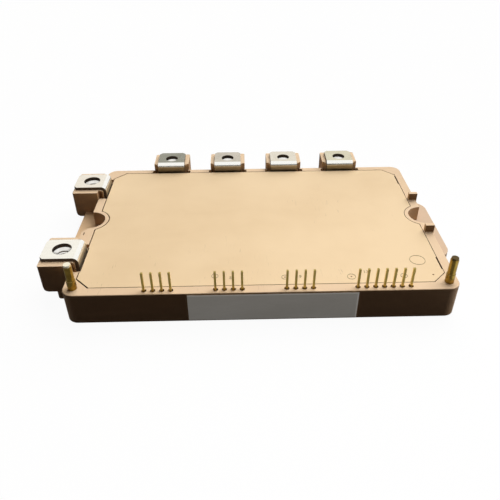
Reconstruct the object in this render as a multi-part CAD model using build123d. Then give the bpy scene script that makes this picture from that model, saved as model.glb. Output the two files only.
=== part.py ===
# Flat intelligent power module: moulded case and lid on a copper base plate,
# six screw terminals with captive nuts, nineteen control pins and two guide pins.
# Millimetres. Origin midway between the two fixing holes, at the underside of the base plate.
# +X runs along the length, +Y to the row of four terminals, +Z up.

import os
from math import cos, radians, sqrt

from build123d import *

# Base plate
base_thickness = 3.0
base_standoff = 0.3  # how far the base plate stands below the plastic
base_inset = 2.4  # plastic wall left outside the base plate
base_corner_radius = 2.0
base_gap = 0.15
tongue_half_width = 11.0
tongue_corner_radius = 4.0

# Case
case_length = 114.0
case_depth = 76.0
case_shift = -1.7  # middle of the case from the line of the fixing holes
case_top = 10.5
case_corner_radius = 3.5
ledge_height = 5.0  # shelf that carries the inner ends of pins and terminals
well_margin_x = 10.5  # case side to the floor well
well_margin_front = 9.3
well_margin_rear = 9.8
shelf_width_x = 4.3
shelf_width_front = 2.9
shelf_width_rear = 4.1
top_edge_chamfer = 0.15

# Fixing ears: the holes and the notches over them are centred on the case sides
fixing_hole_radius = 2.75
ear_hole_radius = 3.1
ear_reach = 5.3  # ear beyond the case side
ear_half_width = 17.4
ear_top = 5.3
ear_corner_radius = 5.2
notch_radius = 5.15
notch_flare = 0.7
left_flange_corner = 1.2
left_flange_inset = 0.4  # flange behind the ends of the left terminal blocks

# Lid
lid_thickness = 1.5
lid_margin_x = 2.93
lid_margin_front = 3.35
lid_margin_rear = 2.65
lid_gap = 0.1
lid_corner = 4.2
lid_edge_chamfer = 0.2
lid_notch_wall = 1.3  # plastic between a notch and the lid
lid_shift = 0.07  # the lid lies a little to the right in its seat
lid_slot_width = 0.45
lid_corner_slots = [(-1, 0.25), (1, 0.1)]  # side, wider gap at that front corner
lid_slots = [(1, 25.4, 6.0), (1, -27.4, 6.0), (-1, -22.5, 12.0)]  # side, middle y, length

# Terminals: bent strip, plate outside, leg through the case, foot on the shelf
strip_thickness = 1.0
strip_inner_radius = 0.8
terminal_top = 14.0
plate_corner = 1.0
slot_gap = 0.1
leg_pocket_depth = 1.2
leg_pocket_front = 0.85
leg_pocket_side = 2.2
recess_side_wall = 0.35  # block left outside the recess beside the leg

rear_terminal_pitch = 22.0
rear_terminal_shift = 0.5
rear_terminal_count = 4
rear_leg_inset = 1.8  # leg face inside the rear wall
rear_plate_length = 9.7
rear_plate_width = 10.2
rear_hole_offset = 4.65
rear_hole_radius = 2.35
rear_foot_length = 6.6
rear_block_width = 13.4
rear_block_lip = 0.6  # block past the end of the plate

left_terminal_spacing = 43.2
left_leg_inset = 2.7
left_plate_length = 11.5
left_plate_width = 10.0
left_hole_offset = 5.85
left_hole_radius = 2.9
left_foot_length = 7.2
left_block_width = 15.0
left_block_lip = 0.1

# Terminal blocks
block_bottom = 3.5
core_reach = 0.75  # narrow front of the block beyond each side of the plate
core_rib = 0.4  # its thickness where it hugs the bend
block_lower_radius = 1.8
block_edge_chamfer = 0.4

# Captive nuts
small_nut_flats = 7.0
small_nut_height = 3.2
small_nut_bore = 1.65
large_nut_flats = 8.0
large_nut_height = 4.0
large_nut_bore = 2.1
nut_gap = 0.1
nut_drop = 0.35  # nut below the plate until a screw lifts it
nut_seat = 1.4  # ledge under the nut
screw_relief_depth = 2.6

# Guide pins
guide_pin_radius = 1.2
guide_pin_collar_radius = 1.32
guide_pin_collar_height = 3.0
guide_pin_root_flats = 1.6  # hexagonal root set in the case, the collar rests on top
guide_pin_top = 19.05
guide_pin_bottom = 5.0
guide_pin_inset_x = 2.9
guide_pin_inset_y = 3.45
guide_pin_nose = 0.8
guide_pin_tip_radius = 1.0

# Control pins
pin_pitch = 2.54
pin_size = 0.64
pin_top = 17.05
pin_tip = 0.2
pin_first_x = -33.6
pin_inset = 1.75  # pin row behind the front wall
pin_foot_length = 6.4
pin_gap = 0.05
pin_sink_radius = 0.8
pin_sink_depth = 0.8
pin_groups = [4, 4, 4, 7]
pin_group_step = 8

# Small upright blocks beside the right notch, and the rib beside the left one
stub_length = 2.9
stub_width = 1.4
stub_height = 2.55
stub_inset = 2.6
stub_rear_y = 10.75
stub_front_y = -9.9
rib_reach = 1.15
rib_inner_reach = 3.0
rib_corner_radius = 2.0
rib_front = -12.0
rib_rear = -5.7
rib_slot_y = -8.25
rib_slot_length = 1.6
rib_slot_width = 0.35
rib_slot_depth = 0.5

# Blank label on the front wall
label_length = 48.8
label_shift = 3.1
label_bottom_gap = 0.35
label_top_gap = 0.55
label_thickness = 0.12

# Power substrates and chips
substrate_gap = 3.0
substrate_side_gap = 3.0
substrate_rear_gap = 1.5
substrate_board_gap = 5.9
foil_thickness = 0.3
ceramic_thickness = 0.64
foil_margin = 1.0
arm_count = 3
pad_gap = 1.2
igbt_size = 9.0
igbt_shift = -6.0  # from the middle of the ceramic
diode_depth = 6.0
diode_shift = 5.5
chip_thickness = 0.35

# Control board and its drivers
board_side_gap = 2.5
board_depth = 17.0
board_front_gap = 0.5
board_thickness = 1.0
driver_length = 8.0
driver_depth = 5.0
driver_height = 1.4

# Bond wires
wire_size = 0.3
wire_rise = 0.9
wire_foot = 0.8
power_wire_count = 2
power_wire_pitch = 3.0

# Derived places
case_front = case_shift - case_depth / 2
case_rear = case_shift + case_depth / 2
case_side = case_length / 2
fixing_x = case_side
base_front = case_front + base_inset
base_rear = case_rear - base_inset
base_side = case_side - base_inset
ear_side = case_side + ear_reach
lid_front = case_front + lid_margin_front
lid_rear = case_rear - lid_margin_rear
lid_side = case_side - lid_margin_x
lid_seat = case_top - lid_thickness
well_front = case_front + well_margin_front
well_rear = case_rear - well_margin_rear
well_side = case_side - well_margin_x
shelf_front = well_front - shelf_width_front
shelf_rear = well_rear + shelf_width_rear
shelf_side = well_side + shelf_width_x
plate_underside = terminal_top - strip_thickness
pin_row_y = case_front + pin_inset
rear_leg_y = case_rear - rear_leg_inset
left_leg_x = -(case_side - left_leg_inset)
foil_top = base_thickness + foil_thickness
ceramic_top = foil_top + ceramic_thickness
pad_top = ceramic_top + foil_thickness
chip_top = pad_top + chip_thickness
board_top = base_thickness + board_thickness
board_front = well_front + board_front_gap
board_rear = board_front + board_depth
board_length = 2 * (well_side - board_side_gap)
substrate_front = board_rear + substrate_board_gap
substrate_rear = well_rear - substrate_rear_gap
substrate_y = (substrate_front + substrate_rear) / 2
substrate_depth = substrate_rear - substrate_front
substrate_length = well_side - substrate_side_gap - substrate_gap / 2
substrate_xs = [side * (substrate_length + substrate_gap) / 2 for side in (-1, 1)]
foil_length = substrate_length - 2 * foil_margin
foil_depth = substrate_depth - 2 * foil_margin
pad_pitch = (foil_length + pad_gap) / arm_count
pad_width = pad_pitch - pad_gap
igbt_y = substrate_y + igbt_shift
diode_y = substrate_y + diode_shift
left_flange_half = (left_terminal_spacing + left_block_width) / 2 - left_flange_inset


def block_between(x_low, x_high, y_low, y_high, z_low, z_high):
    """Plain block given by its two ends on each axis."""
    size = (x_high - x_low, y_high - y_low, z_high - z_low)
    middle = ((x_low + x_high) / 2, (y_low + y_high) / 2, (z_low + z_high) / 2)
    return Pos(*middle) * Box(*size)


def rounded_slab(x_low, x_high, y_low, y_high, z_low, z_high, radius):
    """Slab whose four upright edges are rounded."""
    outline = RectangleRounded(x_high - x_low, y_high - y_low, radius)
    placed = Pos((x_low + x_high) / 2, (y_low + y_high) / 2, z_low) * outline
    return extrude(placed, z_high - z_low)


def post(x, y, z_low, z_high, radius):
    """Upright round post."""
    return Pos(x, y, (z_low + z_high) / 2) * Cylinder(radius, z_high - z_low)


def hex_prism(across_flats, z_low, z_high):
    """Upright hexagonal prism with two flats facing along Y."""
    corner_radius = across_flats / 2 / cos(radians(30))
    return extrude(Pos(0, 0, z_low) * RegularPolygon(corner_radius, 6), z_high - z_low)


# Each terminal place: origin at the foot of the leg's inner face, local +Y pointing outward
rear_places = [
    Pos((index - (rear_terminal_count - 1) / 2) * rear_terminal_pitch + rear_terminal_shift,
        rear_leg_y, 0)
    for index in range(rear_terminal_count)
]
left_places = [
    Pos(left_leg_x, side * left_terminal_spacing / 2, 0) * Rot(0, 0, 90)
    for side in (1, -1)
]
rear_kind = {
    "plate_length": rear_plate_length, "plate_width": rear_plate_width,
    "hole_offset": rear_hole_offset, "hole_radius": rear_hole_radius,
    "foot_length": rear_foot_length, "leg_inset": rear_leg_inset,
    "block_width": rear_block_width, "block_lip": rear_block_lip,
    "nut_flats": small_nut_flats, "nut_height": small_nut_height, "nut_bore": small_nut_bore,
}
left_kind = {
    "plate_length": left_plate_length, "plate_width": left_plate_width,
    "hole_offset": left_hole_offset, "hole_radius": left_hole_radius,
    "foot_length": left_foot_length, "leg_inset": left_leg_inset,
    "block_width": left_block_width, "block_lip": left_block_lip,
    "nut_flats": large_nut_flats, "nut_height": large_nut_height, "nut_bore": large_nut_bore,
}
terminals = [(place, rear_kind) for place in rear_places]
terminals += [(place, left_kind) for place in left_places]

# Control pins: groups start at even steps of the pitch
pin_xs = [
    pin_first_x + (group * pin_group_step + index) * pin_pitch
    for group, count in enumerate(pin_groups)
    for index in range(count)
]
guide_pin_places = [
    (side * (case_side - guide_pin_inset_x), case_front + guide_pin_inset_y)
    for side in (-1, 1)
]


def make_base_plate():
    plate = rounded_slab(-base_side, base_side, base_front, base_rear,
                         0, base_thickness, base_corner_radius)
    tongue_side = ear_side - base_inset
    plate += rounded_slab(-tongue_side, tongue_side, -tongue_half_width, tongue_half_width,
                          0, base_thickness, tongue_corner_radius)
    for side in (-1, 1):
        plate -= post(side * fixing_x, 0, -1, base_thickness + 1, fixing_hole_radius)
    return plate


def make_base_recess():
    """Room for the base plate in the underside of the case."""
    recess = rounded_slab(-base_side - base_gap, base_side + base_gap,
                          base_front - base_gap, base_rear + base_gap,
                          -1, base_thickness, base_corner_radius)
    tongue_side = ear_side - base_inset + base_gap
    tongue_width = tongue_half_width + base_gap
    recess += rounded_slab(-tongue_side, tongue_side, -tongue_width, tongue_width,
                           -1, base_thickness, tongue_corner_radius)
    return recess


def lid_outline(grow):
    """Flat outline of the lid, grown on all sides for its seat in the case."""
    width = 2 * (lid_side + grow)
    depth = lid_rear - lid_front + 2 * grow
    sheet = Pos(0, (lid_front + lid_rear) / 2) * Rectangle(width, depth)
    sheet = chamfer(sheet.vertices(), lid_corner)
    for side in (-1, 1):
        middle = Pos(side * fixing_x, 0)
        sheet -= middle * Circle(notch_radius + lid_notch_wall - grow)
    return sheet


def make_lid():
    lid = extrude(Pos(0, 0, lid_seat) * lid_outline(0), lid_thickness)
    lid = chamfer(lid.faces().sort_by(Axis.Z)[-1].edges(), lid_edge_chamfer)
    for side, y, length in lid_slots:
        lid -= Pos(side * lid_side, y, lid_seat) * Box(2 * lid_slot_width, length, case_top)
    for side, slot in lid_corner_slots:
        corner_width = sqrt(2) * lid_corner + 2 * slot
        corner = Box(corner_width, corner_width, case_top)
        lid -= Pos(side * lid_side, lid_front, lid_seat) * Rot(0, 0, 45) * corner
    return Pos(lid_shift, 0, 0) * lid


def make_terminal(kind):
    """Bent strip in its own place: plate outward, leg down, foot inward."""
    half = strip_thickness / 2
    bend_radius = strip_inner_radius + half
    path = FilletPolyline(
        (0, kind["plate_length"], terminal_top - half),
        (0, half, terminal_top - half),
        (0, half, ledge_height + half),
        (0, -kind["foot_length"], ledge_height + half),
        radius=bend_radius,
    )
    section = Plane(path @ 0, x_dir=(1, 0, 0), z_dir=path % 0)
    strip = sweep(section * Rectangle(kind["plate_width"], strip_thickness), path=path)
    free_corners = strip.edges().filter_by(Axis.Z).group_by(Axis.Y)[-1]
    strip = chamfer(free_corners, plate_corner)
    return strip - post(0, kind["hole_offset"], plate_underside - 1, terminal_top + 1,
                        kind["hole_radius"])


def make_terminal_slot(kind):
    """Room in the case for the leg and the foot, with the pocket round the leg."""
    half_width = kind["plate_width"] / 2 + slot_gap
    leg = block_between(-half_width, half_width, -slot_gap, strip_thickness + slot_gap,
                        ledge_height, case_top + 1)
    foot = block_between(-half_width, half_width, -kind["foot_length"] - 1,
                         strip_thickness + slot_gap,
                         ledge_height, ledge_height + strip_thickness + slot_gap)
    bend = block_between(-half_width, half_width, -strip_inner_radius, 0, ledge_height,
                         ledge_height + strip_thickness + strip_inner_radius)
    pocket_floor = case_top - leg_pocket_depth
    pocket_half = kind["plate_width"] / 2 + leg_pocket_side
    pocket = block_between(-pocket_half, pocket_half, -leg_pocket_front, strip_thickness,
                           pocket_floor, plate_underside)
    recess_half = min(pocket_half, kind["block_width"] / 2 - recess_side_wall)
    recess = block_between(-recess_half, recess_half, 0, kind["leg_inset"],
                           pocket_floor, plate_underside)
    return leg + foot + bend + pocket + recess


def make_terminal_block(kind):
    """Block on the wall that carries the plate."""
    half_width = kind["block_width"] / 2
    outer = kind["plate_length"] + kind["block_lip"]
    body = block_between(-half_width, half_width, kind["leg_inset"] - 1, outer,
                         block_bottom, plate_underside)
    upright = body.edges().filter_by(Axis.Z).group_by(Axis.Y)[-1]
    body = chamfer(upright, block_edge_chamfer)
    lower_outer = body.edges().group_by(Axis.Z)[0].filter_by(Axis.X).sort_by(Axis.Y)[-1]
    body = fillet(lower_outer, block_lower_radius)
    front = block_between(-half_width, half_width, 0, kind["leg_inset"],
                          case_top, terminal_top)
    return body - front


def make_bend_core(kind):
    """Narrow front of the block, which fills the inside of the bend."""
    half_width = kind["plate_width"] / 2 + core_reach
    core = block_between(-half_width, half_width, strip_thickness + slot_gap,
                         kind["leg_inset"], case_top - leg_pocket_depth, plate_underside)
    core_depth = kind["leg_inset"] - strip_thickness - slot_gap
    bend_edge = core.edges().group_by(Axis.Z)[-1].filter_by(Axis.X).sort_by(Axis.Y)[0]
    core = fillet(bend_edge, min(strip_inner_radius, core_depth * 0.95))
    for side in (-1, 1):
        hollow = block_between(half_width - 2 * core_reach, half_width + 1,
                               strip_thickness + slot_gap + core_rib, kind["leg_inset"] + 1,
                               case_top - leg_pocket_depth - 1, plate_underside - core_rib)
        core -= hollow if side == 1 else mirror(hollow, Plane.YZ)
    return core


def make_nut_pocket(kind):
    """Hexagonal room for the nut and the relief for the end of the screw below it."""
    floor = plate_underside - nut_drop - kind["nut_height"]
    pocket = hex_prism(kind["nut_flats"] + 2 * nut_gap, floor, plate_underside + 1)
    relief = hex_prism(kind["nut_flats"] - 2 * nut_seat, floor - screw_relief_depth, floor)
    return Pos(0, kind["hole_offset"], 0) * (pocket + relief)


def make_nut(kind):
    top = plate_underside - nut_drop
    nut = hex_prism(kind["nut_flats"], top - kind["nut_height"], top)
    bore = post(0, 0, top - kind["nut_height"] - 1, top + 1, kind["nut_bore"])
    sink_depth = kind["hole_radius"] - kind["nut_bore"]
    sink = Cone(kind["nut_bore"], kind["hole_radius"], sink_depth)
    sink = Pos(0, 0, top - sink_depth / 2) * sink
    return Pos(0, kind["hole_offset"], 0) * (nut - bore - sink)


def make_control_pin(x):
    """Square pin with a pyramid tip and a foot that lies on the shelf."""
    half = pin_size / 2
    upright = block_between(x - half, x + half, pin_row_y - half, pin_row_y + half,
                            ledge_height, pin_top)
    upright = chamfer(upright.faces().sort_by(Axis.Z)[-1].edges(), pin_tip)
    foot = block_between(x - half, x + half, pin_row_y + half,
                         pin_row_y - half + pin_foot_length,
                         ledge_height, ledge_height + pin_size)
    return upright + foot


def make_pin_slot(x):
    half = pin_size / 2 + pin_gap
    upright = block_between(x - half, x + half, pin_row_y - half, pin_row_y + half,
                            ledge_height, case_top + 1)
    foot = block_between(x - half, x + half, pin_row_y,
                         pin_row_y - half + pin_foot_length,
                         ledge_height, ledge_height + pin_size + pin_gap)
    rim = Pos(x, pin_row_y, case_top - pin_sink_depth) * RegularPolygon(pin_sink_radius, 8)
    return upright + foot + extrude(rim, pin_sink_depth + 1)


def make_guide_pin(x, y):
    nose_bottom = guide_pin_top - guide_pin_nose
    pin = Pos(x, y, 0) * hex_prism(guide_pin_root_flats, guide_pin_bottom, case_top)
    pin += post(x, y, case_top, case_top + guide_pin_collar_height, guide_pin_collar_radius)
    pin += post(x, y, case_top, nose_bottom, guide_pin_radius)
    nose = Cone(guide_pin_radius, guide_pin_tip_radius, guide_pin_nose)
    return pin + Pos(x, y, nose_bottom + guide_pin_nose / 2) * nose


def make_case():
    body = rounded_slab(-case_side, case_side, case_front, case_rear,
                        base_standoff, case_top, case_corner_radius)
    body = chamfer(body.faces().sort_by(Axis.Z)[-1].edges(), top_edge_chamfer)
    body += rounded_slab(-ear_side, ear_side, -ear_half_width, ear_half_width,
                         base_standoff, ear_top, ear_corner_radius)
    body += rounded_slab(-ear_side, 0, -left_flange_half, left_flange_half,
                         base_standoff, ear_top, left_flange_corner)
    rib = rounded_slab(-case_side - rib_reach, -case_side + rib_inner_reach,
                       rib_front, rib_rear, base_standoff, case_top, rib_corner_radius)
    body += rib
    for place, kind in terminals:
        body += place * make_terminal_block(kind)

    # Notches over the fixing holes, wider where they leave the side
    for side in (-1, 1):
        centre_x = side * fixing_x
        body -= post(centre_x, 0, ear_top, case_top + 1, notch_radius)
        mouth_half = notch_radius + notch_flare
        body -= block_between(min(centre_x, side * (ear_side + 1)),
                              max(centre_x, side * (ear_side + 1)),
                              -mouth_half, mouth_half, ear_top, case_top + 1)
        body -= post(centre_x, 0, -1, ear_top + 1, ear_hole_radius)

    # Small upright blocks beside the right notch
    for y in (stub_rear_y, stub_front_y):
        body += block_between(case_side - stub_inset, case_side - stub_inset + stub_length,
                              y - stub_width / 2, y + stub_width / 2,
                              case_top - stub_height, case_top + stub_height)
    body -= block_between(-case_side - rib_slot_width, -case_side,
                          rib_slot_y - rib_slot_length / 2, rib_slot_y + rib_slot_length / 2,
                          case_top - rib_slot_depth, case_top + 1)

    # Inside: lid seat, upper room, floor well and base plate recess
    body -= extrude(Pos(0, 0, lid_seat) * lid_outline(lid_gap), lid_thickness + 1)
    room = rounded_slab(-shelf_side, shelf_side, shelf_front, shelf_rear,
                        ledge_height, lid_seat, base_corner_radius)
    for side in (-1, 1):
        room -= post(side * fixing_x, 0, 0, case_top, notch_radius + 2 * lid_notch_wall)
    body -= room
    body -= rounded_slab(-well_side, well_side, well_front, well_rear,
                         base_thickness - 1, ledge_height, base_corner_radius)
    body -= make_base_recess()

    for place, kind in terminals:
        body -= place * make_terminal_slot(kind)
        body += place * make_bend_core(kind)
        body -= place * make_nut_pocket(kind)
    for x in pin_xs:
        body -= make_pin_slot(x)
    for x, y in guide_pin_places:
        body -= Pos(x, y, 0) * hex_prism(guide_pin_root_flats, guide_pin_bottom, case_top + 1)
    return body


def make_label():
    middle_x = label_shift
    return block_between(middle_x - label_length / 2, middle_x + label_length / 2,
                         case_front - label_thickness, case_front,
                         base_standoff + label_bottom_gap, case_top - label_top_gap)


def arm_xs(middle_x):
    return [middle_x + (index - (arm_count - 1) / 2) * pad_pitch for index in range(arm_count)]


def centred_slab(x, y, length, depth, z_low, z_high):
    return block_between(x - length / 2, x + length / 2, y - depth / 2, y + depth / 2,
                         z_low, z_high)


def make_ceramic(middle_x):
    return centred_slab(middle_x, substrate_y, substrate_length, substrate_depth,
                        foil_top, ceramic_top)


def make_copper(middle_x):
    """Foil under the ceramic and one pad per arm on top of it."""
    pieces = [centred_slab(middle_x, substrate_y, foil_length, foil_depth,
                           base_thickness, foil_top)]
    for x in arm_xs(middle_x):
        pieces.append(centred_slab(x, substrate_y, pad_width, foil_depth, ceramic_top, pad_top))
    return Compound(children=pieces)


def make_board():
    return block_between(-board_length / 2, board_length / 2, board_front, board_rear,
                         base_thickness, board_top)


def group_middle(group):
    first = pin_first_x + group * pin_group_step * pin_pitch
    return first + (pin_groups[group] - 1) * pin_pitch / 2


def make_driver(group):
    middle_y = (board_front + board_rear) / 2
    return centred_slab(group_middle(group), middle_y, driver_length, driver_depth,
                        board_top, board_top + driver_height)


def wire_along_y(x, y_start, z_start, y_end, z_end):
    """One bonded wire: two flat feet joined by a raised span, going along Y."""
    peak = max(z_start, z_end) + wire_rise
    step = wire_foot if y_end > y_start else -wire_foot
    thick = wire_size
    lean = thick if y_end > y_start else -thick
    points = [
        (y_start, z_start), (y_start + step, z_start),
        (y_start + 2 * step, peak - thick), (y_end - 2 * step, peak - thick),
        (y_end - step, z_end), (y_end, z_end), (y_end, z_end + thick),
        (y_end - step + lean / 2, z_end + thick), (y_end - 2 * step + lean / 2, peak),
        (y_start + 2 * step - lean / 2, peak), (y_start + step - lean / 2, z_start + thick),
        (y_start, z_start + thick),
    ]
    profile = make_face(Polyline([(0, y, z) for y, z in points], close=True))
    return Pos(x - thick / 2, 0, 0) * extrude(profile, thick, dir=(1, 0, 0))


def make_bond_wires():
    wires = []
    foot_tip = pin_row_y - pin_size / 2 + pin_foot_length
    board_land = board_front + board_depth / 4
    for x in pin_xs:
        wires.append(wire_along_y(x, foot_tip - wire_foot, ledge_height + pin_size,
                                  board_land, board_top))
    for middle_x in substrate_xs:
        for x in arm_xs(middle_x):
            for index in range(power_wire_count):
                shift = (index - (power_wire_count - 1) / 2) * power_wire_pitch
                wires.append(wire_along_y(x + shift, igbt_y, chip_top, diode_y, chip_top))
    for middle_x in substrate_xs:
        for x in arm_xs(middle_x):
            wires.append(wire_along_y(x, board_rear - wire_foot, board_top,
                                      igbt_y - igbt_size / 4, chip_top))
    for place in rear_places:
        terminal_x = place.position.X
        nearest = min((x for middle in substrate_xs for x in arm_xs(middle)),
                      key=lambda x: abs(x - terminal_x))
        foot_end = rear_leg_y - rear_foot_length
        pad_end = substrate_rear - foil_margin
        wire_x = (terminal_x + nearest) / 2
        wires.append(wire_along_y(wire_x, foot_end + wire_foot,
                                  ledge_height + strip_thickness,
                                  pad_end - 2 * wire_foot, pad_top))
    return Compound(children=wires)


parts = {
    "base_plate": make_base_plate(),
    "case": make_case(),
    "lid": make_lid(),
    "side_label": make_label(),
    "control_board": make_board(),
    "bond_wires": make_bond_wires(),
}
for number, (place, kind) in enumerate(terminals, start=1):
    parts[f"terminal_{number}"] = place * make_terminal(kind)
    parts[f"terminal_nut_{number}"] = place * make_nut(kind)
for number, x in enumerate(pin_xs, start=1):
    parts[f"control_pin_{number:02d}"] = make_control_pin(x)
for name, (x, y) in zip(("left", "right"), guide_pin_places):
    parts[f"guide_pin_{name}"] = make_guide_pin(x, y)
for group in range(len(pin_groups)):
    parts[f"driver_chip_{group + 1}"] = make_driver(group)
arm_number = 0
for name, middle_x in zip(("left", "right"), substrate_xs):
    parts[f"ceramic_{name}"] = make_ceramic(middle_x)
    parts[f"copper_{name}"] = make_copper(middle_x)
    for x in arm_xs(middle_x):
        arm_number += 1
        parts[f"igbt_{arm_number}"] = centred_slab(x, igbt_y, igbt_size, igbt_size,
                                                   pad_top, chip_top)
        parts[f"diode_{arm_number}"] = centred_slab(x, diode_y, igbt_size, diode_depth,
                                                    pad_top, chip_top)

os.makedirs("parts", exist_ok=True)
for name, part in parts.items():
    export_step(part, f"parts/{name}.step")
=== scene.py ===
import math

import bmesh
import bpy
from mathutils import Matrix, Vector


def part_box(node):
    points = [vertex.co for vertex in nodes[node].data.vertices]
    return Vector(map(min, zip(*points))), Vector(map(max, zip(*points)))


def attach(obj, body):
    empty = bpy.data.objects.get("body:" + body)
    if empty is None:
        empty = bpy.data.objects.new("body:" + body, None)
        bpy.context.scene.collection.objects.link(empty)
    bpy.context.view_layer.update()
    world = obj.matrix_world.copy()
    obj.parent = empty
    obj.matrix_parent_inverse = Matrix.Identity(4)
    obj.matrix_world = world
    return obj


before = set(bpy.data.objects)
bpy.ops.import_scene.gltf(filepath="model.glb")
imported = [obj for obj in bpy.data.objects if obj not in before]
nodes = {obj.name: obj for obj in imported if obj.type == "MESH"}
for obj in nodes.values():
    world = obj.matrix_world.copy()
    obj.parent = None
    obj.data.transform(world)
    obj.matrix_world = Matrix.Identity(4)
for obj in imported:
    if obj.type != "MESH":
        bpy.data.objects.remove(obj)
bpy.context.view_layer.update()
mm = 0.001
print("frame loaded:", len(nodes), "nodes")


# camera, solved from the edges of the case and the pins
view = {
    "place": (-0.00582243, -0.15678140, 0.10908078),
    "turn": (54.4235, 0.2524, -1.3504),
    "lens": 38.9953,
    "sensor": 36.0,
}


def placeCamera(view):
    lens = bpy.data.cameras.new("benchCamera")
    lens.lens = view["lens"]
    lens.sensor_width = view["sensor"]
    lens.clip_start = 0.005
    lens.clip_end = 20.0
    camera = bpy.data.objects.new("benchCamera", lens)
    camera.location = view["place"]
    camera.rotation_euler = [math.radians(angle) for angle in view["turn"]]
    bpy.context.scene.collection.objects.link(camera)
    bpy.context.scene.camera = camera


placeCamera(view)
bpy.context.scene.view_settings.view_transform = "Standard"
print("camera placed")


# small helpers for the finishes: every pattern is laid in the part's own metres
def addNode(tree, kind, settings=None, **fields):
    made = tree.nodes.new("ShaderNode" + kind)
    for field, value in fields.items():
        setattr(made, field, value)
    for socket, value in (settings or {}).items():
        made.inputs[socket].default_value = value
    return made


def startFinish(name):
    material = bpy.data.materials.new(name)
    material.use_nodes = True
    tree = material.node_tree
    return material, tree, tree.nodes["Principled BSDF"]


def partPlace(tree, stretch=(1, 1, 1), turn=0.0):
    coordinates = addNode(tree, "TexCoord")
    mapping = addNode(tree, "Mapping", {"Scale": stretch, "Rotation": (0.0, 0.0, turn)})
    tree.links.new(coordinates.outputs["Object"], mapping.inputs["Vector"])
    return mapping.outputs["Vector"]


def clouds(tree, scale, detail=4.0, rough=0.55, stretch=(1, 1, 1), warp=0.0, turn=0.0):
    pattern = addNode(tree, "TexNoise", {
        "Scale": scale, "Detail": detail, "Roughness": rough, "Distortion": warp,
    })
    tree.links.new(partPlace(tree, stretch, turn), pattern.inputs["Vector"])
    return pattern.outputs["Fac"]


def remap(tree, value, low, high, newLow, newHigh):
    ranged = addNode(tree, "MapRange", {
        "From Min": low, "From Max": high, "To Min": newLow, "To Max": newHigh,
    })
    tree.links.new(value, ranged.inputs["Value"])
    return ranged.outputs["Result"]


# what a socket gets: another node's output, a colour or a plain number
def feed(tree, socket, value):
    if isinstance(value, bpy.types.NodeSocket):
        tree.links.new(value, socket)
    elif isinstance(value, tuple):
        socket.default_value = (*value, 1.0)
    else:
        socket.default_value = value


# share of an effect: none where the value is at start, most where it is at full
def grow(tree, value, start, full, most=1.0):
    return remap(tree, value, start, full, 0.0, most)


def blendColours(tree, share, first, second):
    mix = addNode(tree, "Mix", data_type="RGBA")
    feed(tree, mix.inputs[0], share)
    feed(tree, mix.inputs[6], first)
    feed(tree, mix.inputs[7], second)
    return mix.outputs[2]


def blendValues(tree, share, first, second):
    mix = addNode(tree, "Mix", data_type="FLOAT")
    feed(tree, mix.inputs[0], share)
    feed(tree, mix.inputs[2], first)
    feed(tree, mix.inputs[3], second)
    return mix.outputs[0]


def combine(tree, operation, first, second=0.0):
    made = addNode(tree, "Math", operation=operation)
    feed(tree, made.inputs[0], first)
    feed(tree, made.inputs[1], second)
    return made.outputs[0]


def splitAxes(tree, vector=None):
    axes = addNode(tree, "SeparateXYZ")
    if vector is None:
        vector = addNode(tree, "TexCoord").outputs["Object"]
    tree.links.new(vector, axes.inputs[0])
    return axes.outputs


def pressIn(tree, height, strength, distance, normal=None):
    bump = addNode(tree, "Bump", {"Strength": strength, "Distance": distance})
    tree.links.new(height, bump.inputs["Height"])
    if normal:
        tree.links.new(normal, bump.inputs["Normal"])
    return bump.outputs["Normal"]


raySamples = 6   # of the nodes that look around a point, for edges and for hollows


def softEdge(tree, radius):
    bevel = addNode(tree, "Bevel", {"Radius": radius}, samples=raySamples)
    return bevel.outputs["Normal"]


# how near a point is to an edge, from 0 on a flat to 1 on the edge itself
def edgeShare(tree, radius):
    facing = addNode(tree, "NewGeometry")
    turned = addNode(tree, "VectorMath", operation="DOT_PRODUCT")
    tree.links.new(softEdge(tree, radius), turned.inputs[0])
    tree.links.new(facing.outputs["True Normal"], turned.inputs[1])
    return grow(tree, turned.outputs["Value"], 0.995, 0.8)


# painted shade in seams, slots and inner corners, read from ambient occlusion: 0 in the open, 1 deep
# inside
def hollowShadeShare(tree, reach):
    hollow = addNode(tree, "AmbientOcclusion", {"Distance": reach}, samples=raySamples)
    return grow(tree, hollow.outputs["AO"], 0.50, 0.15)


# moulded case and lid: filled resin, a little uneven, with a matt eroded skin. Upright walls carry
# painted shade, browner and darker than the tops, and the low ledges carry painted shade that is greyer
# at the right than at the left
mouldedResin = {
    "drift": {"scale": 34, "detail": 3},
    "flow": {"scale": 120, "detail": 5, "stretch": (0.35, 1.0, 1.0), "warp": 0.6},
    "specks": {"scale": 2600, "detail": 2, "rough": 0.7},
    "scuffs": {"scale": 700, "detail": 6, "rough": 0.75, "stretch": (1.0, 0.06, 1.0), "warp": 1.2},
    "scratches": {"scale": 3200, "detail": 1, "stretch": (1.0, 0.06, 1.0), "warp": 1.4, "turn": 0.55},
    "handling": {"scale": 46, "detail": 2, "turn": 1.1},
    "polish": {"scale": 900, "detail": 3},
    "grit": {"scale": 3400, "detail": 3, "rough": 0.65},
    "waves": {"scale": 60, "detail": 2}, "waveDepth": 0.15 * mm,
    # painted shade on the low ledges below a given height: greyer at the right, browner at the left
    "ledge": (0.570, 0.425, 0.305), "ledgeLeft": (0.720, 0.485, 0.275), "ledgeBlend": 10 * mm,
    "ledgeTop": 5.7 * mm, "ledgeFade": 0.3 * mm,
    "wallMottle": 0.88, "wearWidth": 0.22 * mm, "wallWear": 0.1,
    # the first colour on this line marks scratches and also paints shade into seams and hollows, as far
    # as the reach beside it
    "grimeAndShade": (0.130, 0.080, 0.045), "hollowShadeReach": 0.7 * mm, "sheen": (0.18, 0.26),
    # painted shade on the front faces of the two small blocks, and where it starts
    "stubSide": 50 * mm, "stubFoot": 10.6 * mm, "stubFade": 0.2 * mm, "stubShade": (0.120, 0.055, 0.014),
}
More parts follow.
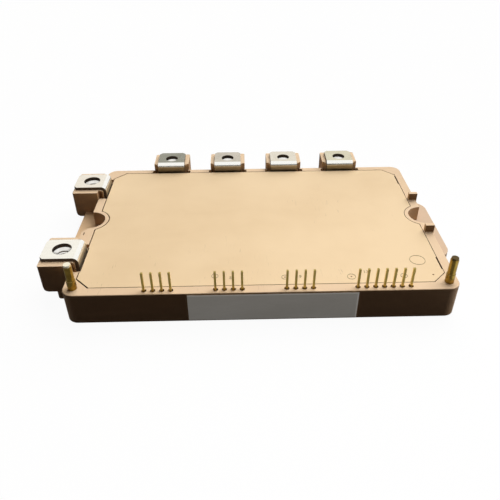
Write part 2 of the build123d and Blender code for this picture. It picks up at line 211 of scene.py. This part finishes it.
casePlastic = {
    **mouldedResin,
    "pale": (0.775, 0.580, 0.390), "deep": (0.700, 0.510, 0.325), "edge": (0.900, 0.740, 0.550),
    # painted shade: the case's upright faces are darker and browner than its tops
    "wall": (0.560, 0.360, 0.200), "rough": (0.46, 0.62),
    # the pale colour along the edges is partly wear and partly a painted highlight
    "edgeRadius": 0.10 * mm, "gritDepth": 0.012 * mm, "edgeWearAndHighlight": 0.6,
}
lidPlastic = {
    **mouldedResin,
    "pale": (0.800, 0.615, 0.390), "deep": (0.735, 0.550, 0.335), "edge": (0.830, 0.655, 0.440),
    # painted shade: the lid's upright faces, seen only down the seam, are near black
    "wall": (0.110, 0.070, 0.040), "rough": (0.42, 0.56),
    "edgeRadius": 0.08 * mm, "gritDepth": 0.010 * mm, "edgeWearAndHighlight": 0.25,
}


# the skin on open faces: cloudy tone, flow streaks, specks, scuffs and some scratches
def resinSkin(tree, look, flow):
    drift = clouds(tree, **look["drift"])
    specks = clouds(tree, **look["specks"])
    tone = blendColours(tree, grow(tree, drift, 0.33, 0.68), look["deep"], look["pale"])
    streaked = blendColours(tree, grow(tree, flow, 0.4, 0.75, 0.45), tone, look["pale"])
    speckled = blendColours(tree, grow(tree, specks, 0.60, 0.78, 0.30), streaked, look["deep"])
    scuffs = clouds(tree, **look["scuffs"])
    scuffed = blendColours(tree, grow(tree, scuffs, 0.66, 0.80, 0.35), speckled, look["edge"])
    scratches = clouds(tree, **look["scratches"])
    handled = grow(tree, clouds(tree, **look["handling"]), 0.56, 0.66)
    marked = combine(tree, "MULTIPLY", grow(tree, scratches, 0.68, 0.76, 0.30), handled)
    return blendColours(tree, marked, scuffed, look["grimeAndShade"])


# painted shade on the low ledges, darker and greyer to the right of the middle
def shadeLowLedges(tree, look, place, skin):
    low = grow(tree, place["Z"], look["ledgeTop"], look["ledgeTop"] - look["ledgeFade"], 0.8)
    leftward = grow(tree, place["X"], look["ledgeBlend"], -look["ledgeBlend"])
    ledge = blendColours(tree, leftward, look["ledge"], look["ledgeLeft"])
    return blendColours(tree, low, skin, ledge)


# share of painted shade: only on the front faces of the two small upright blocks
def stubShadeShare(tree, look, place, facing):
    side, foot = look["stubSide"], look["stubFoot"]
    outward = grow(tree, place["X"], side, side + mm)
    above = grow(tree, place["Z"], foot, foot + look["stubFade"])
    forward = grow(tree, facing["Y"], -0.6, -0.9, 0.9)
    return combine(tree, "MULTIPLY", combine(tree, "MULTIPLY", outward, above), forward)


def resinFinish(name, look):
    material, tree, shader = startFinish(name)
    flow = clouds(tree, **look["flow"])
    place = splitAxes(tree)
    facing = splitAxes(tree, addNode(tree, "NewGeometry").outputs["True Normal"])
    upright = grow(tree, combine(tree, "ABSOLUTE", facing["Z"]), 0.85, 0.60)
    ledgeShaded = shadeLowLedges(tree, look, place, resinSkin(tree, look, flow))
    # painted shade on upright faces, mottled a little
    darkWall = tuple(look["wallMottle"] * part for part in look["wall"])
    mottle = blendColours(tree, grow(tree, flow, 0.35, 0.65), look["wall"], darkWall)
    walled = blendColours(tree, upright, ledgeShaded, mottle)
    # pale edges: partly rubbed wear, partly a painted highlight; weaker on upright faces
    rubbed = grow(tree, edgeShare(tree, look["wearWidth"]), 0.3, 1.0, look["edgeWearAndHighlight"])
    onTop = remap(tree, upright, 0.0, 1.0, 1.0, look["wallWear"])
    worn = blendColours(tree, combine(tree, "MULTIPLY", rubbed, onTop), walled, look["edge"])
    # painted shade on the front faces of the two small blocks
    darkened = blendColours(tree, stubShadeShare(tree, look, place, facing), worn, look["stubShade"])
    # painted shade in seams, slots and inner corners
    hollowShaded = blendColours(tree, hollowShadeShare(tree, look["hollowShadeReach"]), darkened, look["grimeAndShade"])
    tree.links.new(hollowShaded, shader.inputs["Base Color"])
    polish = clouds(tree, **look["polish"])
    tree.links.new(remap(tree, polish, 0.3, 0.7, *look["rough"]), shader.inputs["Roughness"])
    tree.links.new(blendValues(tree, upright, *look["sheen"]), shader.inputs["Specular IOR Level"])
    grit = clouds(tree, **look["grit"])
    waves = clouds(tree, **look["waves"])
    rounded = softEdge(tree, look["edgeRadius"])
    sunk = pressIn(tree, waves, 0.25, look["waveDepth"], rounded)
    tree.links.new(pressIn(tree, grit, 0.55, look["gritDepth"], sunk), shader.inputs["Normal"])
    return material


# nickel over copper strip: rolling lines along the strip, a few rubs, tarnish by amount; the cut edges
# are bare and dark, the bend carries a painted highlight and the leg below it painted shade
brightStrip = {
    "clean": (0.800, 0.785, 0.730), "stained": (0.560, 0.520, 0.420), "stain": 0.25,
    "rough": (0.16, 0.30), "stretch": (1.0, 0.05, 1.0),
    "lines": {"scale": 5200, "detail": 3, "rough": 0.6},
    "stains": {"scale": 260, "detail": 5, "rough": 0.6, "warp": 0.8},
    "rubs": {"scale": 1500, "detail": 3, "stretch": (0.4, 1.0, 1.0), "warp": 1.5},
    "lineTone": (0.42, 0.40, 0.36), "rubbedEdge": (0.86, 0.84, 0.79), "wearWidth": 0.18 * mm,
    # the brightest colour on this line is a painted highlight on the bend
    "cut": (0.085, 0.062, 0.045), "cutPale": 1.8, "cutRough": 0.62, "bendHighlight": (0.95, 0.945, 0.91),
    # painted shade on the upright leg below the bend, and how much of it
    "leg": (0.24, 0.185, 0.115), "legShare": 0.85, "legRough": 0.42,
    "bendTop": 12.9 * mm, "bendFoot": 12.1 * mm,
    "rows": ("X", "Y"), "flatStart": 7.7 * mm,   # from the free end of the plate to its bend
    "cutFade": 0.2 * mm, "edge": 0.12 * mm, "lineDepth": 0.006 * mm,
}


# share of a spot that is a cut face of the strip: its sides, its free end or the wall of its hole
def cutShare(tree, ends, look):
    low, high = ends
    across, along = look["rows"]
    facing = splitAxes(tree, addNode(tree, "NewGeometry").outputs["True Normal"])
    place = splitAxes(tree)
    side = grow(tree, combine(tree, "ABSOLUTE", facing[across]), 0.6, 0.8)
    upright = grow(tree, combine(tree, "ABSOLUTE", facing["Z"]), 0.35, 0.25)
    if along == "Y":
        start = high.y - look["flatStart"]
        stop = start + look["cutFade"]
    else:
        start = low.x + look["flatStart"]
        stop = start - look["cutFade"]
    outer = grow(tree, place[along], start, stop)
    return combine(tree, "MAXIMUM", side, combine(tree, "MULTIPLY", upright, outer))


def platedFinish(name, look):
    material, tree, shader = startFinish("plated_" + name)
    lines = clouds(tree, stretch=look["stretch"], **look["lines"])
    stains = clouds(tree, **look["stains"])
    rubs = clouds(tree, **look["rubs"])
    stained = grow(tree, stains, 0.35, 0.70, look["stain"])
    tone = blendColours(tree, stained, look["clean"], look["stained"])
    lined = blendColours(tree, grow(tree, lines, 0.35, 0.7, 0.16), tone, look["lineTone"])
    rubbedEdge = grow(tree, edgeShare(tree, look["wearWidth"]), 0.3, 1.0, 0.5)
    worn = blendColours(tree, rubbedEdge, lined, look["rubbedEdge"])
    height = splitAxes(tree)["Z"]
    # painted shade on the upright leg below the bend
    onLeg = grow(tree, height, look["bendTop"], look["bendFoot"], look["legShare"])
    tilt = splitAxes(tree, addNode(tree, "NewGeometry").outputs["Normal"])["Z"]
    # painted highlight on the bend, where the face turns from upright to flat
    onBend = combine(tree, "MULTIPLY", grow(tree, tilt, 0.99, 0.93), grow(tree, tilt, 0.05, 0.25))
    bendHighlight = blendColours(tree, onBend, worn, look["bendHighlight"])
    legged = blendColours(tree, onLeg, bendHighlight, look["leg"])
    cut = cutShare(tree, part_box(name), look)
    paleCut = tuple(look["cutPale"] * part for part in look["cut"])
    mottled = blendColours(tree, grow(tree, stains, 0.3, 0.7, 0.6), look["cut"], paleCut)
    tree.links.new(blendColours(tree, cut, legged, mottled), shader.inputs["Base Color"])
    shader.inputs["Metallic"].default_value = 1.0
    rubbed = remap(tree, rubs, 0.35, 0.7, *look["rough"])
    legRough = blendValues(tree, onLeg, rubbed, look["legRough"])
    tree.links.new(blendValues(tree, cut, legRough, look["cutRough"]), shader.inputs["Roughness"])
    rounded = softEdge(tree, look["edge"])
    tree.links.new(pressIn(tree, lines, 0.25, look["lineDepth"], rounded), shader.inputs["Normal"])
    return material


# drawn and plated pins: fine lines along the pin, duller and browner low down
drawnPin = {
    "drawn": {"scale": 4200, "detail": 3, "stretch": (1.0, 1.0, 0.04)},
    "patches": {"scale": 620, "detail": 4, "warp": 0.7},
    "low": 10.4 * mm, "tipFade": 0.3 * mm, "lineDepth": 0.006 * mm,
    "rubbedEdge": (0.70, 0.58, 0.30), "wearWidth": 0.1 * mm,
}
controlPinLook = {
    **drawnPin, "bright": (0.880, 0.690, 0.220), "dull": (0.540, 0.400, 0.105), "high": 16.5 * mm,
    "rough": (0.32, 0.48), "tipStart": 16.7 * mm, "edge": 0.26 * mm, "tip": (0.480, 0.370, 0.130),
}
guidePinLook = {
    **drawnPin, "bright": (0.420, 0.290, 0.060), "dull": (0.200, 0.120, 0.020), "high": 22.0 * mm,
    "rough": (0.15, 0.26), "tipStart": 18.4 * mm, "edge": 0.08 * mm,
}
guideTipReflections = {
    "left": (0.980, 0.930, 0.760),       # painted highlight of a bright reflection
    "right": (0.090, 0.060, 0.025),      # painted dark reflection
}


def pinFinish(name, look, tip):
    material, tree, shader = startFinish(name)
    drawn = clouds(tree, **look["drawn"])
    patches = clouds(tree, **look["patches"])
    up = grow(tree, splitAxes(tree)["Z"], look["low"], look["high"], 0.75)
    aged = blendColours(tree, grow(tree, patches, 0.35, 0.65), look["dull"], look["bright"])
    cleaner = blendColours(tree, up, aged, look["bright"])
    lined = blendColours(tree, grow(tree, drawn, 0.4, 0.7, 0.35), cleaner, look["dull"])
    rubbedEdge = grow(tree, edgeShare(tree, look["wearWidth"]), 0.3, 1.0, 0.4)
    worn = blendColours(tree, rubbedEdge, lined, look["rubbedEdge"])
    tipStart = look["tipStart"]
    atTip = grow(tree, splitAxes(tree)["Z"], tipStart, tipStart + look["tipFade"], 0.9)
    tree.links.new(blendColours(tree, atTip, worn, tip), shader.inputs["Base Color"])
    shader.inputs["Metallic"].default_value = 1.0
    tree.links.new(remap(tree, patches, 0.3, 0.7, *look["rough"]), shader.inputs["Roughness"])
    rounded = softEdge(tree, look["edge"])
    tree.links.new(pressIn(tree, drawn, 0.3, look["lineDepth"], rounded), shader.inputs["Normal"])
    return material


skinDepth = 0.008 * mm   # of the tool marks on metals and the grain on matt pieces


# turned or pressed metals inside and below: one function, a look for each
nutSteel = {
    "clean": (0.92, 0.91, 0.88), "stained": (0.74, 0.72, 0.67), "spots": 420, "lines": 3800,
    "stretch": (1.0, 1.0, 0.15), "rough": (0.26, 0.42), "edge": 0.06 * mm,
}
plateNickel = {
    "clean": (0.66, 0.64, 0.59), "stained": (0.45, 0.41, 0.33), "spots": 70, "lines": 2600,
    "stretch": (0.03, 1.0, 1.0), "rough": (0.26, 0.46), "edge": 0.25 * mm,
}
foilCopper = {
    "clean": (0.83, 0.46, 0.29), "stained": (0.52, 0.25, 0.14), "spots": 240, "lines": 3000,
    "stretch": (1.0, 0.1, 1.0), "rough": (0.28, 0.44), "edge": 0.08 * mm,
}
wireAluminium = {
    "clean": (0.84, 0.84, 0.83), "stained": (0.62, 0.61, 0.58), "spots": 900, "lines": 5200,
    "stretch": (1.0, 0.1, 1.0), "rough": (0.18, 0.34), "edge": 0.05 * mm,
}


def metalFinish(name, look):
    material, tree, shader = startFinish(name)
    spots = clouds(tree, look["spots"], detail=5, rough=0.6, warp=0.5)
    lines = clouds(tree, look["lines"], detail=3, stretch=look["stretch"])
    tone = blendColours(tree, grow(tree, spots, 0.42, 0.72, 0.7), look["clean"], look["stained"])
    lined = blendColours(tree, grow(tree, lines, 0.4, 0.72, 0.25), tone, look["stained"])
    rubbedEdge = grow(tree, edgeShare(tree, look["edge"]), 0.3, 1.0, 0.5)
    worn = blendColours(tree, rubbedEdge, lined, look["clean"])
    tree.links.new(worn, shader.inputs["Base Color"])
    shader.inputs["Metallic"].default_value = 1.0
    tree.links.new(remap(tree, spots, 0.3, 0.7, *look["rough"]), shader.inputs["Roughness"])
    rounded = softEdge(tree, look["edge"])
    tree.links.new(pressIn(tree, lines, 0.3, skinDepth, rounded), shader.inputs["Normal"])
    return material


# matt pieces of the inside: ceramic, chips, driver bodies and the board
ceramicWhite = {
    "first": (0.80, 0.79, 0.75), "second": (0.70, 0.68, 0.63), "patch": 300, "grain": 5200,
    "rough": (0.42, 0.62), "edge": 0.06 * mm,
}
chipSilicon = {
    "first": (0.30, 0.31, 0.33), "second": (0.20, 0.21, 0.24), "patch": 900, "grain": 6200,
    "rough": (0.14, 0.26), "edge": 0.04 * mm,
}
driverResin = {
    "first": (0.030, 0.030, 0.032), "second": (0.050, 0.048, 0.046), "patch": 1200, "grain": 5200,
    "rough": (0.48, 0.66), "edge": 0.1 * mm,
}
boardGreen = {
    "first": (0.030, 0.150, 0.060), "second": (0.045, 0.190, 0.080), "patch": 500, "grain": 2800,
    "rough": (0.26, 0.40), "edge": 0.06 * mm,
}


def mattFinish(name, look):
    material, tree, shader = startFinish(name)
    patches = clouds(tree, look["patch"], detail=4, warp=0.4)
    grain = clouds(tree, look["grain"], detail=3, rough=0.65)
    tone = blendColours(tree, grow(tree, patches, 0.35, 0.65), look["first"], look["second"])
    grained = blendColours(tree, grow(tree, grain, 0.45, 0.75, 0.35), tone, look["second"])
    tree.links.new(grained, shader.inputs["Base Color"])
    tree.links.new(remap(tree, grain, 0.3, 0.7, *look["rough"]), shader.inputs["Roughness"])
    rounded = softEdge(tree, look["edge"])
    tree.links.new(pressIn(tree, grain, 0.4, skinDepth, rounded), shader.inputs["Normal"])
    return material


# bare foil label, silver grey with a thin paler margin where the film ends short of the foil
labelFoil = {
    "fade": {"scale": 45, "detail": 3, "stretch": (1.0, 1.0, 2.5)},
    "fibres": {"scale": 2400, "detail": 3, "stretch": (0.2, 1.0, 1.0)},
    "ripple": {"scale": 140, "detail": 2}, "rippleDepth": 0.05 * mm,
    "film": (0.645, 0.620, 0.570), "shade": (0.585, 0.560, 0.510), "margin": (0.900, 0.870, 0.810),
    "marginWidth": 0.40 * mm, "marginFade": 0.08 * mm, "rough": (0.40, 0.50),
}


def labelFinish(name, look):
    material, tree, shader = startFinish(name)
    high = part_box("side_label")[1]
    axes = splitAxes(tree)
    top, right = high.z - look["marginWidth"], high.x - look["marginWidth"]
    atTop = grow(tree, axes["Z"], top, top + look["marginFade"])
    atRight = grow(tree, axes["X"], right, right + look["marginFade"])
    margin = combine(tree, "MAXIMUM", atTop, atRight)
    fade = clouds(tree, **look["fade"])
    fibres = clouds(tree, **look["fibres"])
    tone = blendColours(tree, grow(tree, fade, 0.3, 0.7), look["film"], look["shade"])
    fibred = blendColours(tree, grow(tree, fibres, 0.4, 0.75, 0.25), tone, look["shade"])
    edged = blendColours(tree, margin, fibred, look["margin"])
    tree.links.new(edged, shader.inputs["Base Color"])
    shader.inputs["Metallic"].default_value = 1.0
    tree.links.new(remap(tree, fibres, 0.3, 0.7, *look["rough"]), shader.inputs["Roughness"])
    ripple = clouds(tree, **look["ripple"])
    tree.links.new(pressIn(tree, ripple, 0.2, look["rippleDepth"]), shader.inputs["Normal"])
    return material


# each terminal gets its own plating tone as painted reflection: the first rear one, painted as
# reflecting darker surroundings, is the greyest
terminalLooksAndReflections = {
    "terminal_1": {"clean": (0.300, 0.300, 0.245), "stained": (0.210, 0.205, 0.150), "stain": 0.8,
                   "rough": (0.20, 0.34)},
    "terminal_2": {"clean": (0.640, 0.590, 0.500), "stained": (0.430, 0.390, 0.310), "stain": 0.55},
    "terminal_3": {"clean": (0.820, 0.770, 0.660), "stained": (0.620, 0.560, 0.430), "stain": 0.40},
    "terminal_4": {"clean": (0.730, 0.690, 0.520), "stained": (0.550, 0.490, 0.320), "stain": 0.45},
    "terminal_5": {"clean": (0.900, 0.840, 0.730), "stain": 0.15, "stretch": (0.05, 1.0, 1.0),
                   "rows": ("Y", "X"), "flatStart": 9.5 * mm, "legShare": 0.9,
                   "leg": (0.360, 0.300, 0.215), "legRough": 0.62},
    "terminal_6": {"clean": (0.960, 0.935, 0.850), "stain": 0.06, "stretch": (0.05, 1.0, 1.0),
                   "rows": ("Y", "X"), "flatStart": 9.5 * mm, "legShare": 0.9,
                   "leg": (0.360, 0.300, 0.215), "legRough": 0.62},
}


def dress(name, material):
    piece = nodes[name]
    for slot in piece.material_slots:
        slot.material = material


def dressFrame():
    dress("case", resinFinish("mouldedCase", casePlastic))
    dress("lid", resinFinish("mouldedLid", lidPlastic))
    dress("side_label", labelFinish("labelFoil", labelFoil))
    dress("base_plate", metalFinish("platedBase", plateNickel))
    dress("control_board", mattFinish("boardLacquer", boardGreen))
    dress("bond_wires", metalFinish("wireAluminium", wireAluminium))
    shared = {
        "control_pin": pinFinish("platedPin", controlPinLook, controlPinLook["tip"]),
        "terminal_nut": metalFinish("nutSteel", nutSteel),
        "driver_chip": mattFinish("driverResin", driverResin),
        "ceramic": mattFinish("ceramicWhite", ceramicWhite),
        "copper": metalFinish("foilCopper", foilCopper),
        "igbt": mattFinish("chipSilicon", chipSilicon),
    }
    shared["diode"] = shared["igbt"]
    for side, tip in guideTipReflections.items():
        dress("guide_pin_" + side, pinFinish("brassGuide_" + side, guidePinLook, tip))
    for name in nodes:
        if name in terminalLooksAndReflections:
            dress(name, platedFinish(name, {**brightStrip, **terminalLooksAndReflections[name]}))
            continue
        family = name.rsplit("_", 1)[0]
        if family in shared:
            dress(name, shared[family])
    return shared


finishes = dressFrame()
print("frame dressed")


# pieces made here
def pieceFrom(name, shape, material, smooth=True):
    mesh = bpy.data.meshes.new(name)
    shape.to_mesh(mesh)
    shape.free()
    for face in mesh.polygons:
        face.use_smooth = smooth
    mesh.materials.append(material)
    piece = bpy.data.objects.new(name, mesh)
    bpy.context.scene.collection.objects.link(piece)
    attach(piece, "root")


# faces from each ring of four corners to the next one
def joinRings(shape, rings):
    for before, after in zip(rings, rings[1:]):
        for index in range(4):
            following = (index + 1) % 4
            shape.faces.new((before[index], before[following], after[following], after[index]))


# screw thread inside each captive nut: a ridge wound up the bore to the countersink; the flank
# is a share of the pitch, and each end tapers off over one part in so many of the length
threads = {
    "small": {"bore": 1.65, "pitch": 0.70, "depth": 0.22, "countersink": 0.70},
    "large": {"bore": 2.10, "pitch": 0.80, "depth": 0.26, "countersink": 0.80},
    "root": 0.03, "margin": 0.12, "crest": 0.06, "flank": 0.44, "taperPart": 12, "stepsPerTurn": 28,
}


def cutThread(number):
    low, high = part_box("terminal_nut_%d" % number)
    size = threads["large" if number > 4 else "small"]
    centre = (low + high) / 2
    bottom = low.z / mm + threads["margin"] + size["pitch"] / 2
    top = high.z / mm - size["countersink"] - size["pitch"] / 2
    steps = int(threads["stepsPerTurn"] * (top - bottom) / size["pitch"])
    shape = bmesh.new()
    rings = []
    for step in range(steps + 1):
        share = step / steps
        angle = 2 * math.pi * step / threads["stepsPerTurn"]
        taper = min(1.0, share * threads["taperPart"], (1 - share) * threads["taperPart"])
        height = bottom + (top - bottom) * share
        outer = size["bore"] + threads["root"]
        inner = size["bore"] - size["depth"] * taper
        half, crest = size["pitch"] * threads["flank"], threads["crest"]
        rings.append([
            shape.verts.new((
                centre.x + radius * mm * math.cos(angle),
                centre.y + radius * mm * math.sin(angle),
                (height + rise) * mm,
            ))
            for radius, rise in ((outer, -half), (inner, -crest), (inner, crest), (outer, half))
        ])
    joinRings(shape, rings)
    shape.faces.new(rings[0])
    shape.faces.new(reversed(rings[-1]))
    bmesh.ops.recalc_face_normals(shape, faces=shape.faces)
    pieceFrom("nut_thread_%d" % number, shape, finishes["terminal_nut"], smooth=False)


for number in range(1, 7):
    cutThread(number)
print("threads wound")


# raised marks moulded on the lid: rings, dots and plain numbers
lidMarks = {
    "rings": [(-13.6, -31.8, 0.95), (6.9, -32.9, 0.95), (26.35, -33.2, 1.2), (41.8, -33.2, 0.95),
              (47.8, -25.7, 2.3)],
    "ringWidth": 0.16, "crown": 0.6, "rise": 0.07, "sunk": 0.03, "sides": 48,
    "dotHeight": 0.35,                   # as a share of its radius
    "dots": [(50.5, -32.95, 0.28), (26.35, -33.2, 0.24), (6.9, -32.9, 0.24)],
    "numbers": [("1", -29.2, -33.3), ("5", -9.0, -33.3), ("9", 11.4, -33.3), ("13", 31.0, -31.6)],
    "numberHeight": 1.7, "numberRise": 0.03, "numberBold": 0.02, "numberLift": 0.01,
}
# painted shade: the rings and numbers are dark brown, standing in for the shadow along a moulded groove
markGrooveShadePlastic = {
    **lidPlastic,
    "pale": (0.400, 0.320, 0.170), "deep": (0.330, 0.250, 0.130), "edge": (0.450, 0.360, 0.200),
}
dotPlastic = {
    **lidPlastic,
    "pale": (0.180, 0.080, 0.035), "deep": (0.120, 0.050, 0.020), "edge": (0.240, 0.120, 0.060),
}
markGrooveShadeFinish = resinFinish("mouldedMarkShade", markGrooveShadePlastic)
dotFinish = resinFinish("mouldedDots", dotPlastic)
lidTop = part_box("lid")[1].z / mm


def ringMark(name, x, y, radius, width):
    shape = bmesh.new()
    sides = lidMarks["sides"]
    foot, crown = width / 2, lidMarks["crown"] * width / 2
    low, high = -lidMarks["sunk"], lidMarks["rise"]
    rings = []
    for side in range(sides):
        angle = 2 * math.pi * side / sides
        rings.append([
            shape.verts.new((
                (x + (radius + across) * math.cos(angle)) * mm,
                (y + (radius + across) * math.sin(angle)) * mm,
                (lidTop + rise) * mm,
            ))
            for across, rise in ((-foot, low), (-crown, high), (crown, high), (foot, low))
        ])
    joinRings(shape, rings + rings[:1])
    bmesh.ops.recalc_face_normals(shape, faces=shape.faces)
    pieceFrom(name, shape, markGrooveShadeFinish, smooth=False)


def dotMark(name, x, y, radius):
    shape = bmesh.new()
    bmesh.ops.create_uvsphere(shape, u_segments=20, v_segments=10, radius=radius * mm)
    flattened = Matrix.Diagonal((1, 1, lidMarks["dotHeight"], 1))
    bmesh.ops.transform(shape, matrix=flattened, verts=shape.verts)
    bmesh.ops.translate(shape, verts=shape.verts, vec=Vector((x, y, lidTop)) * mm)
    pieceFrom(name, shape, dotFinish)


def numberMark(name, text, x, y):
    writing = bpy.data.curves.new(name, "FONT")
    writing.body = text
    writing.size = lidMarks["numberHeight"] * mm
    writing.align_x = "CENTER"
    writing.extrude = lidMarks["numberRise"] * mm
    writing.offset = lidMarks["numberBold"] * mm
    writing.resolution_u = 4
    written = bpy.data.objects.new(name, writing)
    written.location = Vector((x, y, lidTop + lidMarks["numberLift"])) * mm
    bpy.context.scene.collection.objects.link(written)
    bpy.context.view_layer.update()
    flat = bpy.data.meshes.new_from_object(written)
    flat.transform(written.matrix_world)
    bpy.data.objects.remove(written)
    shape = bmesh.new()
    shape.from_mesh(flat)
    bmesh.ops.remove_doubles(shape, verts=shape.verts, dist=1e-7)
    pieceFrom(name, shape, markGrooveShadeFinish, smooth=False)


for index, (x, y, radius) in enumerate(lidMarks["rings"]):
    ringMark("lid_ring_%d" % (index + 1), x, y, radius, lidMarks["ringWidth"])
for index, (x, y, radius) in enumerate(lidMarks["dots"]):
    dotMark("lid_dot_%d" % (index + 1), x, y, radius)
for text, x, y in lidMarks["numbers"]:
    numberMark("lid_number_" + text, text, x, y)
print("lid marks raised")


# floor, lamps and surroundings
studio = {
    "floorSize": 6.0,
    "paper": (0.90, 0.90, 0.90),
    "floorWhite": 0.95,                  # share of the floor that is white whatever falls on it
    "floorInGloss": (0.22, 1.0),         # what reflections see of it: in front, and to the right
    "cardEnd": (0.056, 0.068),           # where the dark card in front ends
    "floorBounce": (0.022, 0.014, 0.010),
    "paleTint": (1.0, 0.99, 0.97),
    "window": {"tilt": 45, "swing": 30, "spread": 70, "strength": 4.12},
    "panel": {"place": (0.038, -0.034, 0.120), "size": 0.05, "power": 0.022},
    "sideCards": {
        "right": {"place": (0.160, -0.042, 0.014), "power": 0.028},
        "left": {"place": (-0.160, -0.042, 0.014), "power": 0.003},
        "size": 0.022,
    },
    "skyDark": 0.05, "skyPale": 1.0, "skyEdge": (-0.05, 0.22),   # what reflections see above
    "skySlant": (0.35, 0.90),            # how much of depth and of height counts towards it
    "ambient": (0.020, 0.050), "ambientReach": (-0.2, 0.9), "ambientTint": (1.0, 0.66, 0.48),
}


def layFloor(studio):
    shape = bmesh.new()
    bmesh.ops.create_grid(shape, x_segments=8, y_segments=8, size=studio["floorSize"] / 2)
    mesh = bpy.data.meshes.new("benchTop")
    shape.to_mesh(mesh)
    shape.free()
    floor = bpy.data.objects.new("benchTop", mesh)
    bpy.context.scene.collection.objects.link(floor)
    material, tree, shader = startFinish("benchPaper")
    tree.nodes.remove(shader)
    output = tree.nodes["Material Output"]
    rays = addNode(tree, "LightPath").outputs
    paper = addNode(tree, "BsdfDiffuse", {"Color": (*studio["paper"], 1.0)})
    bounce = addNode(tree, "BsdfDiffuse", {"Color": (*studio["floorBounce"], 1.0)})
    glow = addNode(tree, "Emission", {"Color": (1.0, 1.0, 1.0, 1.0), "Strength": 1.0})
    lit = addNode(tree, "MixShader", {"Fac": studio["floorWhite"]})
    tree.links.new(paper.outputs[0], lit.inputs[1])
    tree.links.new(glow.outputs[0], lit.inputs[2])
    pale = remap(tree, splitAxes(tree)["X"], *studio["cardEnd"], *studio["floorInGloss"])
    inGloss = combine(tree, "MULTIPLY", rays["Is Glossy Ray"], pale)
    clear = combine(tree, "MAXIMUM", rays["Is Camera Ray"], rays["Is Transmission Ray"])
    either = addNode(tree, "MixShader")
    tree.links.new(combine(tree, "MAXIMUM", clear, inGloss), either.inputs["Fac"])
    tree.links.new(bounce.outputs[0], either.inputs[1])
    tree.links.new(lit.outputs[0], either.inputs[2])
    tree.links.new(either.outputs[0], output.inputs["Surface"])
    mesh.materials.append(material)


def hangLamp(name, kind, power, place=(0, 0, 0), turn=(0, 0, 0), **fields):
    lamp = bpy.data.lights.new(name, kind)
    lamp.energy = power
    for field, value in fields.items():
        setattr(lamp, field, value)
    hung = bpy.data.objects.new(name, lamp)
    hung.location = place
    hung.rotation_euler = [math.radians(angle) for angle in turn]
    hung.visible_glossy = False
    bpy.context.scene.collection.objects.link(hung)


def hangLamps(studio):
    window, panel, cards = studio["window"], studio["panel"], studio["sideCards"]
    hangLamp("backWindow", "SUN", window["strength"], turn=(-window["tilt"], 0, -window["swing"]),
             angle=math.radians(window["spread"]), color=studio["paleTint"])
    hangLamp("frontPanel", "AREA", panel["power"], panel["place"], shape="DISK", size=panel["size"])
    for side, turn in (("right", 90), ("left", -90)):
        card = cards[side]
        hangLamp(side + "Card", "AREA", card["power"], card["place"], (0, turn, 0), size=cards["size"])


def paintSky(studio):
    world = bpy.data.worlds.new("paleRoom")
    world.use_nodes = True
    bpy.context.scene.world = world
    tree = world.node_tree
    output = tree.nodes["World Output"]
    tree.nodes.remove(tree.nodes["Background"])
    rays = addNode(tree, "LightPath").outputs
    axes = splitAxes(tree, addNode(tree, "TexCoord").outputs["Generated"])
    depthPart, heightPart = studio["skySlant"]
    slanted = combine(tree, "MULTIPLY", axes["Y"], depthPart)
    height = combine(tree, "ADD", slanted, combine(tree, "MULTIPLY", axes["Z"], heightPart))
    gloss = remap(tree, height, *studio["skyEdge"], studio["skyDark"], studio["skyPale"])
    soft = remap(tree, axes["Y"], *studio["ambientReach"], *studio["ambient"])
    white = addNode(tree, "Background", {"Color": (1, 1, 1, 1), "Strength": 1.0})
    mirrored = addNode(tree, "Background", {"Color": (*studio["paleTint"], 1)})
    ambient = addNode(tree, "Background", {"Color": (*studio["ambientTint"], 1)})
    tree.links.new(gloss, mirrored.inputs["Strength"])
    tree.links.new(soft, ambient.inputs["Strength"])
    first = addNode(tree, "MixShader")
    tree.links.new(rays["Is Glossy Ray"], first.inputs["Fac"])
    tree.links.new(ambient.outputs[0], first.inputs[1])
    tree.links.new(mirrored.outputs[0], first.inputs[2])
    second = addNode(tree, "MixShader")
    clear = combine(tree, "MAXIMUM", rays["Is Camera Ray"], rays["Is Transmission Ray"])
    tree.links.new(clear, second.inputs["Fac"])
    tree.links.new(first.outputs[0], second.inputs[1])
    tree.links.new(white.outputs[0], second.inputs[2])
    tree.links.new(second.outputs[0], output.inputs["Surface"])


layFloor(studio)
hangLamps(studio)
paintSky(studio)
print("studio lit")
